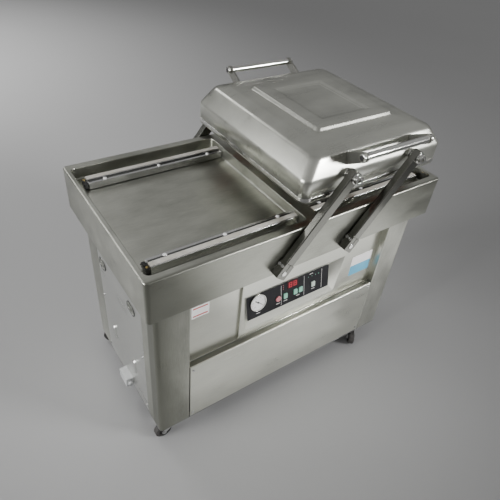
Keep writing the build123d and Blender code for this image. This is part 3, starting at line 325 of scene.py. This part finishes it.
def loops_mesh(loops, close_ends=(False, False)):
    """A skin over rings of equal length; close_ends caps the first and the last ring."""
    bm = bmesh.new()
    rings = [[bm.verts.new(p) for p in loop] for loop in loops]
    for a, b in zip(rings, rings[1:]):
        count = len(a)
        for i in range(count):
            j = (i + 1) % count
            bm.faces.new((a[i], a[j], b[j], b[i]))
    if close_ends[0]:
        bm.faces.new(rings[0][::-1])
    if close_ends[1]:
        bm.faces.new(rings[-1])
    bmesh.ops.recalc_face_normals(bm, faces=bm.faces)
    return bm


def rounded_rect(cx, cy, z, half_x, half_y, radius, arc_steps=8, side_steps=6):
    """Points round a rectangle with rounded corners, at height z."""
    radius = max(min(radius, half_x - 0.001, half_y - 0.001), 0.0005)
    points = []
    corners = ((1, 1, 0), (-1, 1, 90), (-1, -1, 180), (1, -1, 270))
    for sx, sy, start in corners:
        ox, oy = cx + sx * (half_x - radius), cy + sy * (half_y - radius)
        for i in range(arc_steps + 1):
            a = math.radians(start + 90 * i / arc_steps)
            points.append(Vector((ox + radius * math.cos(a), oy + radius * math.sin(a), z)))
    full = []
    count = len(points)
    for i, p in enumerate(points):
        full.append(p)
        q = points[(i + 1) % count]
        if (i + 1) % (arc_steps + 1) == 0:
            for k in range(1, side_steps):
                full.append(p.lerp(q, k / side_steps))
    return full


# ------------------------------------------------------------------ lid shell
lid_low, lid_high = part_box("lid_shell")
lid_x = (lid_low.x + lid_high.x) / 2
lid_z = lid_low.z
LID_SHEET = 0.002


def soften(profile, reach):
    """Rounds the corners of a profile of (half_x, half_y, z, corner radius) rows.

    Each reach is how far the rounding goes to either side of its corner, in metres.
    """
    rows = [Vector(profile[0])]
    for before, corner, after, r in zip(profile, profile[1:], profile[2:], reach):
        p, c, q = Vector(before), Vector(corner), Vector(after)
        a = c + (p - c) * min(0.5, r / (p - c).to_3d().length)
        b = c + (q - c) * min(0.5, r / (q - c).to_3d().length)
        for i in range(6):
            t = i / 5
            rows.append(a * (1 - t) ** 2 + c * 2 * t * (1 - t) + b * t * t)
    rows.append(Vector(profile[-1]))
    return rows


def lid_rings(rows, inset):
    """One ring of points round the lid for each row of the profile."""
    rings = []
    for half_x, half_y, z, radius in rows:
        rings.append(rounded_rect(lid_x, 0, lid_z + z, half_x - inset, half_y - inset, radius, 10, 10))
    return rings


lid_profile = [
    (0.2560, 0.2660, 0.0000, 0.024), (0.2560, 0.2660, 0.0620, 0.024), (0.2200, 0.2440, 0.1110, 0.024),
    (0.1860, 0.2110, 0.1220, 0.022), (0.1410, 0.1570, 0.1245, 0.010), (0.1350, 0.1510, 0.1335, 0.008),
    (0.0905, 0.1115, 0.1335, 0.006), (0.0835, 0.1045, 0.1295, 0.005), (0.0770, 0.0980, 0.1290, 0.005),
    (0.0755, 0.0965, 0.1280, 0.005), (0.0300, 0.0420, 0.1280, 0.004),
]
lid_reach = (0.006, 0.009, 0.008, 0.0030, 0.0022, 0.0022, 0.0022, 0.0010, 0.0006)


def make_lid():
    """One pressed sheet: the outer skin, the turned lower edge and the inner skin."""
    rows = soften(lid_profile, lid_reach)
    outer = lid_rings(rows, 0.0)
    inner_rows = [
        (half_x, half_y, max(z - LID_SHEET, 0.0), max(radius - LID_SHEET, 0.004))
        for half_x, half_y, z, radius in rows
    ]
    inner = lid_rings(inner_rows, LID_SHEET)
    bm = loops_mesh(inner[::-1] + outer, (True, True))
    return new_piece("lid_pressing", bm, lid_steel, "lid")


lid_pressing = make_lid()


def bar_piece(name, low, high, material, body, round_edge=0.0008, segments=2):
    """A bar between two corners with rounded edges."""
    low, high = Vector(low), Vector(high)
    bm = bmesh.new()
    bmesh.ops.create_cube(bm, size=1.0)
    for vert in bm.verts:
        vert.co = Vector(((low[i] + high[i]) / 2 + vert.co[i] * (high[i] - low[i]) for i in range(3)))
    bmesh.ops.bevel(bm, geom=bm.edges[:], offset=round_edge, segments=segments, profile=0.5, affect="EDGES")
    return new_piece(name, bm, material, body)


def turned(name, axis_point, axis, profile, material, body, steps=48):
    """A turned piece: profile rows are (distance along the axis, radius)."""
    axis = Vector(axis).normalized()
    side = axis.orthogonal().normalized()
    other = axis.cross(side)
    turn = [2 * math.pi * i / steps for i in range(steps)]
    spokes = [side * math.cos(a) + other * math.sin(a) for a in turn]
    loops = []
    for along, radius in profile:
        centre = Vector(axis_point) + axis * along
        loops.append([centre + spoke * radius for spoke in spokes])
    return new_piece(name, loops_mesh(loops, (True, True)), material, body)


def lid_inside():
    """The gasket flange and the two rails inside the lid."""
    flange = rounded_rect(lid_x, 0, lid_z + 0.004, 0.2542, 0.2642, 0.022, 8, 4)
    inner = rounded_rect(lid_x, 0, lid_z + 0.004, 0.2335, 0.2510, 0.016, 8, 4)
    lift = Vector((0, 0, 0.002))
    bm = loops_mesh([flange, inner, [p + lift for p in inner], [p + lift for p in flange], flange])
    bmesh.ops.remove_doubles(bm, verts=bm.verts, dist=1e-6)
    bmesh.ops.recalc_face_normals(bm, faces=bm.faces)
    new_piece("lid_gasket_flange", bm, sheet_x, "lid", smooth=False)
    for bank in (-1, 1):
        y = sorted((bank * 0.194, bank * 0.218))
        bar_piece(
            f"lid_rail_{'front' if bank < 0 else 'rear'}", (lid_x - 0.2535, y[0], lid_z + 0.022),
            (lid_x + 0.2535, y[1], lid_z + 0.025), sheet_x, "lid", 0.0004, 1,
        )


lid_inside()


def lid_edge_strip():
    """The narrow retaining strip round the lower edge of the lid."""
    outer = rounded_rect(lid_x, 0, lid_z + 0.0045, 0.2568, 0.2668, 0.0248, 10, 10)
    inner = rounded_rect(lid_x, 0, lid_z + 0.0045, 0.2561, 0.2661, 0.0241, 10, 10)
    tall = Vector((0, 0, 0.0105))
    soft = Vector((0, 0, 0.0006))
    loops = [inner, outer]
    loops += [[p + soft for p in outer], [p + tall - soft for p in outer], [p + tall for p in inner], inner]
    bm = loops_mesh(loops)
    bmesh.ops.remove_doubles(bm, verts=bm.verts, dist=1e-6)
    bmesh.ops.recalc_face_normals(bm, faces=bm.faces)
    new_piece("lid_edge_strip", bm, polished, "lid", smooth=False)


lid_edge_strip()
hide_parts("lid_shell")


# ------------------------------------------------------------------ handles
bars_low, bars_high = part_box("handle_bars")
bar_z = (bars_low.z + bars_high.z) / 2
bar_y = bars_high.y - 0.010
for bank in (-1, 1):
    for end in (-1, 1):
        edge = bars_low.x if end < 0 else bars_high.x
        place_name = f"{'front' if bank < 0 else 'rear'}_{'left' if end < 0 else 'right'}"
        turned(
            f"handle_collar_{place_name}", (edge, bank * bar_y, bar_z), (end, 0, 0),
            [(-0.0060, 0.0101), (-0.0056, 0.0106), (0.0002, 0.0106), (0.0010, 0.0098), (0.0010, 0.0060)],
            polished, "lid",
        )
        turned(
            f"handle_plug_{place_name}", (edge, bank * bar_y, bar_z), (end, 0, 0),
            [(0.0006, 0.0072), (0.0014, 0.0070), (0.0018, 0.0060), (0.0014, 0.0024)],
            black_paint, "lid", 32,
        )


# ------------------------------------------------------------------ gauge, display and labels
# The black panel stands on a tilted plane: local x along it, local z up it and local y into the machine.
PANEL = Matrix.Translation((0, -0.210, 0.424)) @ Matrix.Rotation(math.radians(-12.0), 4, "X")
gauge_x, gauge_v = -0.1175, 0.012
dial_radius = 0.0258
dial_front = -0.00225
first_angle, sweep = -45, 270
plate_v = 0.041


def on_panel(piece):
    """Stands a piece drawn in the panel's own coordinates on the tilted panel."""
    piece.data.transform(PANEL)
    return piece


def flat_outline(name, outline, y, depth, material, body, edge=0.0):
    """A thin plate facing the front: outline holds (x, z) points, and depth runs backwards from y."""
    front = [Vector((x, y, z)) for x, z in outline]
    back = [Vector((x, y + depth, z)) for x, z in outline]
    bm = loops_mesh([front, back], (True, True))
    piece = new_piece(name, bm, material, body, smooth=False)
    if edge:
        edge_bevel(piece, edge, 2)
    return piece


def rect_xz(x0, x1, z0, z1, radius=0.0, steps=4):
    """Rounded rectangle as (x, z) points."""
    if not radius:
        return [(x0, z0), (x1, z0), (x1, z1), (x0, z1)]
    points = []
    for cx, cz, start in (
        (x1 - radius, z1 - radius, 0), (x0 + radius, z1 - radius, 90),
        (x0 + radius, z0 + radius, 180), (x1 - radius, z0 + radius, 270),
    ):
        for i in range(steps + 1):
            a = math.radians(start + 90 * i / steps)
            points.append((cx + radius * math.cos(a), cz + radius * math.sin(a)))
    return points


def gauge_face():
    """White dial with a plain scale running anticlockwise from the lower right."""
    count = 64
    turn = [2 * math.pi * i / count for i in range(count)]
    ring = [(gauge_x + dial_radius * math.cos(a), gauge_v + dial_radius * math.sin(a)) for a in turn]
    on_panel(flat_outline("gauge_dial", ring, -0.0021, 0.0010, dial_painted_glow, "cabinet"))
    bm = bmesh.new()
    for i in range(51):
        angle = math.radians(first_angle + sweep * i / 50)
        long_mark = i % 10 == 0
        inner, outer = (0.0206 if long_mark else 0.0222), 0.0238
        half = 0.00028 if long_mark else 0.00012
        along = Vector((math.cos(angle), 0, math.sin(angle)))
        across = Vector((-math.sin(angle), 0, math.cos(angle))) * half
        centre = Vector((gauge_x, dial_front, gauge_v))
        corners = [centre + along * inner - across, centre + along * outer - across,
                   centre + along * outer + across, centre + along * inner + across]
        front = [bm.verts.new(p) for p in corners]
        back = [bm.verts.new(p + Vector((0, 0.0001, 0))) for p in corners]
        bm.faces.new(front)
        bm.faces.new(back[::-1])
        for k in range(4):
            bm.faces.new((front[k], back[k], back[(k + 1) % 4], front[(k + 1) % 4]))
    bmesh.ops.recalc_face_normals(bm, faces=bm.faces)
    on_panel(new_piece("gauge_scale", bm, black_paint, "cabinet", smooth=False))
    reach = 0.0172
    for i, text in enumerate(("0", "2", "4", "6", "8", "10")):
        angle = math.radians(first_angle + sweep * i / 5)
        curve = bpy.data.curves.new(f"gauge_number_{i}", "FONT")
        curve.body = text
        curve.size = 0.0046
        curve.align_x = "CENTER"
        curve.align_y = "CENTER"
        curve.extrude = 0.00005
        owner = bpy.data.objects.new(f"gauge_number_{i}_text", curve)
        bpy.context.scene.collection.objects.link(owner)
        mesh = bpy.data.meshes.new_from_object(owner.evaluated_get(bpy.context.evaluated_depsgraph_get()))
        bpy.data.objects.remove(owner)
        spot = Vector((gauge_x + reach * math.cos(angle), dial_front, gauge_v + reach * math.sin(angle)))
        mesh.transform(Matrix.Translation(spot) @ Matrix.Rotation(math.radians(90), 4, "X"))
        on_panel(new_piece(f"gauge_number_{i}", mesh, black_paint, "cabinet", smooth=False))


gauge_face()


def glass_material():
    """Clear window of the gauge: a thin film, so that the dial stays white behind it."""
    material, tree, shader, place = node_material("gauge_glass")
    film = noise(tree, place, 60.0, 3.0)
    tree.links.new(ramp(tree, film, 0.3, 0.7, 0.04, 0.12), shader.inputs["Roughness"])
    tree.links.new(mix_colour(tree, film, (0.95, 0.96, 0.96), (1.0, 1.0, 1.0)), shader.inputs["Base Color"])
    shader.inputs["Alpha"].default_value = 0.06
    return material


on_panel(turned(
    "gauge_lens", (gauge_x, -0.0041, gauge_v), (0, -1, 0),
    [(-0.0004, 0.0259), (0.0, 0.0259), (0.0004, 0.0230), (0.0007, 0.0150), (0.0008, 0.0040)],
    glass_material(), "cabinet",
))


def panel_details():
    """Display window with lit digits, thin dividing lines and indicator spots on the black panel."""
    for i, x in enumerate((-0.030, 0.061, 0.134)):
        on_panel(flat_outline(
            f"panel_line_{i}", rect_xz(x - 0.0004, x + 0.0004, -plate_v + 0.005, plate_v - 0.005),
            -0.0002, 0.0002, label_painted_glow, "cabinet",
        ))
    on_panel(flat_outline(
        "display_window", rect_xz(-0.006, 0.036, 0.013, 0.038, 0.002), -0.0008, 0.0008,
        led_glass, "cabinet", 0.0002,
    ))
    bm = bmesh.new()
    for digit in range(2):
        left = -0.0005 + digit * 0.0180
        low, tall, wide, bar = 0.0165, 0.0180, 0.0125, 0.0024
        middle = low + tall / 2
        segments = (
            (left, left + wide, low, low + bar), (left, left + wide, middle - bar / 2, middle + bar / 2),
            (left, left + wide, low + tall - bar, low + tall), (left, left + bar, low, middle),
            (left, left + bar, middle, low + tall), (left + wide - bar, left + wide, low, middle),
            (left + wide - bar, left + wide, middle, low + tall),
        )
        for x0, x1, z0, z1 in segments:
            front = [bm.verts.new((x, -0.0011, z)) for x, z in rect_xz(x0, x1, z0, z1)]
            back = [bm.verts.new((x, -0.0008, z)) for x, z in rect_xz(x0, x1, z0, z1)]
            bm.faces.new(front)
            bm.faces.new(back[::-1])
            for k in range(4):
                bm.faces.new((front[k], back[k], back[(k + 1) % 4], front[(k + 1) % 4]))
    bmesh.ops.recalc_face_normals(bm, faces=bm.faces)
    on_panel(new_piece("display_digits", bm, led_red, "cabinet", smooth=False))
    spots = [(-0.022, z) for z in (0.033, 0.026, 0.019)]
    spots += [(x, 0.024) for x in (0.078, 0.093, 0.108, 0.120)]
    lamp_profile = [(-0.0005, 0.0013), (0.0005, 0.0013), (0.0010, 0.0007)]
    for i, (x, z) in enumerate(spots):
        on_panel(turned(
            f"indicator_{i}", (x, 0.0, z), (0, -1, 0), lamp_profile,
            key_red if i < 3 else key_green, "cabinet", 16,
        ))
    marks = [(x, -0.026) for x in (-0.042, -0.014, 0.036, 0.098)]
    marks += [(gauge_x, -0.028), (0.090, 0.033)]
    for i, (x, z) in enumerate(marks):
        on_panel(flat_outline(
            f"panel_mark_{i}", rect_xz(x - 0.007, x + 0.007, z - 0.0007, z + 0.0007), -0.0002, 0.0002,
            label_painted_glow, "cabinet",
        ))


led_glass = moulded(
    "led_glass", (0.07, 0.006, 0.010), (0.05, 0.004, 0.006), 0.3, 1500.0, 0.000005, shine=0.2,
)
panel_details()


def labels():
    """Blank stickers on the recessed panel: no text, only fields of colour."""
    recess_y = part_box("front_recess_panel")[0].y
    face, band = recess_y - 0.0004, recess_y - 0.0006
    flat_outline("label_left", rect_xz(-0.348, -0.294, 0.496, 0.539, 0.001), face, 0.0004,
                 label_painted_glow, "cabinet")
    for i, (z0, z1) in enumerate(((0.501, 0.5055), (0.5295, 0.534))):
        flat_outline(f"label_left_band_{i}", rect_xz(-0.3435, -0.2985, z0, z1), band, 0.0002,
                     label_red, "cabinet")
    flat_outline("label_right", rect_xz(0.255, 0.349, 0.382, 0.466, 0.002), face, 0.0004,
                 label_painted_glow, "cabinet")
    flat_outline("label_right_band", rect_xz(0.2555, 0.3485, 0.3825, 0.426, 0.002), band, 0.0002,
                 label_blue, "cabinet")


labels()


def pull_rings():
    """A thin dark gasket round each pull cup of the side panel."""
    cup_height = 0.482
    profile = ((-0.4659, 0.0256, 0.0186), (-0.4668, 0.0254, 0.0184),
               (-0.4668, 0.0236, 0.0166), (-0.4659, 0.0234, 0.0164))
    for i, y in enumerate((-0.090, 0.118)):
        loops = []
        for x, half_y, half_z in profile:
            flat = rounded_rect(y, cup_height, 0.0, half_y, half_z, half_z, 10, 2)
            loops.append([Vector((x, p[0], p[1])) for p in flat])
        bm = loops_mesh(loops + [loops[0]])
        bmesh.ops.remove_doubles(bm, verts=bm.verts, dist=0.000001)
        new_piece(f"pull_ring_{i}", bm, black_paint, "cabinet")


pull_rings()


def front_trim():
    """The ledge strip over the lower panel, darkened as painted shade, and the bright lip behind it."""
    low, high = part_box("front_lower_panel")
    first_x, last_x = low.x + 0.002, high.x - 0.002
    front_y, step_y, back_y = low.y + 0.0045, low.y + 0.0195, low.y + 0.0225
    under = high.z - 0.0002
    bar_piece("ledge_strip", (first_x, front_y, under), (last_x, step_y, high.z + 0.0010),
              ledge_painted_shade, "cabinet", 0.0003, 1)
    bar_piece("ledge_lip", (first_x, step_y, under), (last_x, back_y, high.z + 0.0030),
              polished, "cabinet", 0.0006, 2)


front_trim()


# ------------------------------------------------------------------ sealing bar fittings
def tube_mesh(points, radius, steps=6):
    """A closed tube along a smooth curve through the given points."""
    curve = bpy.data.curves.new("lead_path", "CURVE")
    curve.dimensions = "3D"
    curve.bevel_depth = radius
    curve.bevel_resolution = 2
    curve.use_fill_caps = True
    spline = curve.splines.new("NURBS")
    spline.points.add(len(points) - 1)
    for point, place in zip(spline.points, points):
        point.co = (*place, 1.0)
    spline.order_u = 4
    spline.use_endpoint_u = True
    spline.resolution_u = steps
    owner = bpy.data.objects.new("lead_path", curve)
    bpy.context.scene.collection.objects.link(owner)
    mesh = bpy.data.meshes.new_from_object(owner.evaluated_get(bpy.context.evaluated_depsgraph_get()))
    bpy.data.objects.remove(owner)
    return mesh


bar_top, block_top = 0.7250, 0.7230
dome_profile = [(0, 0.0056), (0.0010, 0.0055), (0.0026, 0.0044), (0.0036, 0.0024), (0.0038, 0.0008)]
screw_profile = [(0, 0.0036), (0.0016, 0.0036), (0.0024, 0.0026), (0.0026, 0.001)]
lead_path = [
    (0.4590, 0.2020, 0.7215), (0.4600, 0.2000, 0.7262), (0.4640, 0.1960, 0.7270),
    (0.4672, 0.1905, 0.7245), (0.4660, 0.1860, 0.7190), (0.4610, 0.1850, 0.7140),
]
# Painted shade: a dark strip stands for the shadow along the step of each sealing bar.
groove_painted_shade = moulded("groove_painted_shade", (0.045, 0.045, 0.042), (0.03, 0.03, 0.028), 0.5)
# Painted highlight: the steel screw domes are near-white to stand for their glints.
dome_painted_glint = moulded("dome_painted_glint", (0.95, 0.95, 0.94), (0.88, 0.88, 0.87), 0.3, 900.0, 0.00001, coat=0.6)


def bar_fittings():
    """Groove strip darkened as painted shade, domes whitened as painted glints, and end blocks of each
    sealing bar; its outer end has a screw and a lead.
    """
    for side_name, side in (("left", -1), ("right", 1)):
        for bank_name, bank in (("front", -1), ("rear", 1)):
            place_name = f"{side_name}_{bank_name}"
            body = f"bar_{place_name}"
            low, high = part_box(f"seal_bar_{place_name}")
            middle = (low.x + high.x) / 2
            y0, y1 = sorted((bank * 0.1880, bank * 0.1956))
            bar_piece(f"bar_groove_shade_{place_name}", (low.x + 0.003, y0, bar_top - 0.0001),
                      (high.x - 0.003, y1, bar_top + 0.0005), groove_painted_shade, body, 0.0002, 1)
            for i, step in enumerate((-0.166, 0.0, 0.166)):
                turned(f"bar_dome_{place_name}_{i}", (middle + step, bank * 0.188, bar_top), (0, 0, 1),
                       dome_profile, dome_painted_glint, body, 24)
            for end_name, end, edge in (("inner", -side, low.x if side > 0 else high.x),
                                        ("outer", side, high.x if side > 0 else low.x)):
                x0, x1 = sorted((edge + end * 0.0008, edge + end * 0.0110))
                y0, y1 = sorted((bank * 0.183, bank * 0.214))
                bar_piece(f"terminal_{place_name}_{end_name}", (x0, y0, block_top - 0.0155),
                          (x1, y1, block_top), black_paint, body, 0.0016, 3)
                if end_name == "inner":
                    continue
                turned(f"terminal_screw_{place_name}", ((x0 + x1) / 2, bank * 0.2065, block_top - 0.0002),
                       (0, 0, 1), screw_profile, brass, body, 24)
                lead = [(side * x, bank * y, z) for x, y, z in lead_path]
                new_piece(f"lead_{place_name}", tube_mesh(lead, 0.0015), black_paint, body)


bar_fittings()


def stage_floor():
    """A pale floor under the wheels, large enough to fill every view."""
    bm = bmesh.new()
    bmesh.ops.create_grid(bm, x_segments=8, y_segments=8, size=30.0)
    mesh = bpy.data.meshes.new("floor")
    bm.to_mesh(mesh)
    bm.free()
    floor = bpy.data.objects.new("floor", mesh)
    bpy.context.scene.collection.objects.link(floor)
    material, tree, shader, place = node_material("floor_paint")
    tone = noise(tree, place, 0.6, 2.0)
    colour = mix_colour(tree, tone, (0.42, 0.42, 0.42), (0.45, 0.45, 0.45))
    tree.links.new(colour, shader.inputs["Base Color"])
    shader.inputs["Roughness"].default_value = 0.75
    mesh.materials.append(material)


stage_floor()


# ------------------------------------------------------------------ studio
def area_light(name, place, target, size, power, size_y=None, spread=180):
    """A rectangular lamp that faces target; spread is in degrees and power in watts."""
    data = bpy.data.lights.new(name, "AREA")
    data.energy = power
    data.shape = "RECTANGLE"
    data.size = size
    data.size_y = size_y or size
    data.spread = math.radians(spread)
    lamp = bpy.data.objects.new(name, data)
    direction = Vector(target) - Vector(place)
    lamp.matrix_world = Matrix.Translation(place) @ direction.to_track_quat("-Z", "Y").to_matrix().to_4x4()
    bpy.context.scene.collection.objects.link(lamp)


area_light("key", (-2.8, 0.2, 1.3), (0, 0.0, 0.60), 1.6, 12, 0.9, 60)
area_light("back_wash", (-1.2, 4.2, 3.4), (-0.9, 3.2, 0.0), 1.6, 50, 1.6, 90)
area_light("front_fill", (1.84, -2.44, 1.7), (0.19, -0.1, 0.90), 0.9, 10, 0.4, 50)
area_light("left_fill", (-2.4, 1.9, 2.0), (-0.1, 0.0, 0.93), 0.7, 0.5, 0.4, 50)
area_light("floor_card", (0.58, -0.94, 0.02), (0.58, -0.94, 1.0), 1.1, 3.1, 0.7)
area_light("near_card", (0.02, -0.44, 0.02), (0.02, -0.44, 1.0), 0.7, 0.15, 0.22)


def studio_world():
    """Soft surroundings: a dim horizon that brightens towards the ceiling."""
    world = bpy.data.worlds.new("studio")
    bpy.context.scene.world = world
    world.use_nodes = True
    tree = world.node_tree
    background = next(n for n in tree.nodes if n.type == "BACKGROUND")
    place = tree.nodes.new("ShaderNodeTexCoord")
    split = tree.nodes.new("ShaderNodeSeparateXYZ")
    height = tree.nodes.new("ShaderNodeMapRange")
    height.inputs["From Min"].default_value = -1.0
    shade = tree.nodes.new("ShaderNodeValToRGB")
    stops = shade.color_ramp.elements
    for stop, grey in ((0.52, 0.12), (0.66, 0.22), (0.78, 0.40), (0.88, 0.34)):
        mark = stops.new(stop)
        mark.color = (grey, grey, grey, 1.0)
    stops[0].color = (0.10, 0.10, 0.10, 1.0)
    stops[-1].color = (0.30, 0.30, 0.30, 1.0)
    tree.links.new(place.outputs["Generated"], split.inputs[0])
    tree.links.new(split.outputs["Z"], height.inputs["Value"])
    tree.links.new(height.outputs["Result"], shade.inputs["Fac"])
    tree.links.new(shade.outputs["Color"], background.inputs["Color"])
    background.inputs["Strength"].default_value = 1.0


studio_world()
